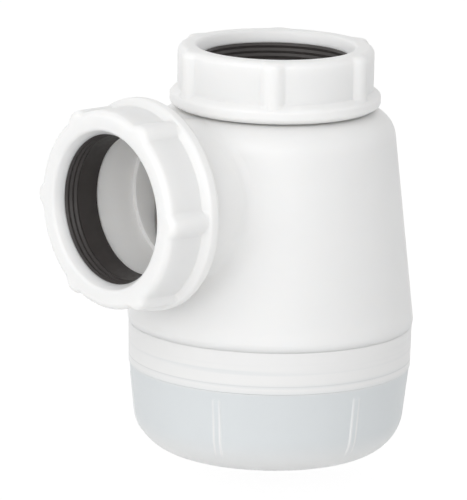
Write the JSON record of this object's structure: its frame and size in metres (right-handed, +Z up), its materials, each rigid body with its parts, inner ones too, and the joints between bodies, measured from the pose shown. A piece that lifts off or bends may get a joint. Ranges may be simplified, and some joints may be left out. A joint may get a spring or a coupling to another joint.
{
  "type": "condensate trap",
  "caption": "White plastic bottle trap with lugged compression nuts on its top inlet and side outlet, a dip tube inside and a translucent screw-on cleaning cup.",
  "frame": {"origin": "centre of the cup's flat underside", "axes": "+Z up the bottle's axis and out of the inlet, -X out of the side outlet"},
  "size_m": [0.096, 0.0758, 0.1089],
  "materials": {
    "white_plastic": "satin",
    "cup_plastic": "satin",
    "seal_rubber": "matte",
    "washer_rubber": "matte"
  },
  "bodies": {
    "bottle": {"bottle_body": "white_plastic", "dip_tube": "white_plastic"},
    "inlet_seal": {"inlet_seal": "seal_rubber"},
    "inlet_nut": {"inlet_nut": "white_plastic"},
    "outlet_seal": {"outlet_seal": "seal_rubber"},
    "outlet_nut": {"outlet_nut": "white_plastic"},
    "cup_washer": {"cup_washer": "washer_rubber"},
    "screw_cup": {"screw_cup": "cup_plastic"}
  },
  "joints": [
    {"name": "inlet_seal_slide", "type": "slide", "parent": "bottle", "child": "inlet_seal", "axis": [0, 0, 1], "range_m": [0, 0.0101]},
    {"name": "inlet_nut_turn", "type": "hinge", "parent": "inlet_seal", "child": "inlet_nut", "pos_m": [0, 0, 0.0932], "axis": [0, 0, 1], "range_deg": [0, 900]},
    {"name": "outlet_seal_slide", "type": "slide", "parent": "bottle", "child": "outlet_seal", "axis": [-1, 0, 0], "range_m": [0, 0.0101]},
    {"name": "outlet_nut_turn", "type": "hinge", "parent": "outlet_seal", "child": "outlet_nut", "pos_m": [-0.04245, 0, 0.0717], "axis": [-1, 0, 0], "range_deg": [0, 900]},
    {"name": "cup_washer_slide", "type": "slide", "parent": "bottle", "child": "cup_washer", "axis": [0, 0, -1], "range_m": [0, 0.00808]},
    {"name": "screw_cup_turn", "type": "hinge", "parent": "cup_washer", "child": "screw_cup", "pos_m": [0, 0, 0.0234], "axis": [0, 0, -1], "range_deg": [0, 720]}
  ],
  "couplings": [
    {"joint": "inlet_seal_slide", "follows": "inlet_nut_turn", "m_per_rad": 0.00063662},
    {"joint": "outlet_seal_slide", "follows": "outlet_nut_turn", "m_per_rad": 0.00063662},
    {"joint": "cup_washer_slide", "follows": "screw_cup_turn", "m_per_rad": 0.00063662}
  ]
}
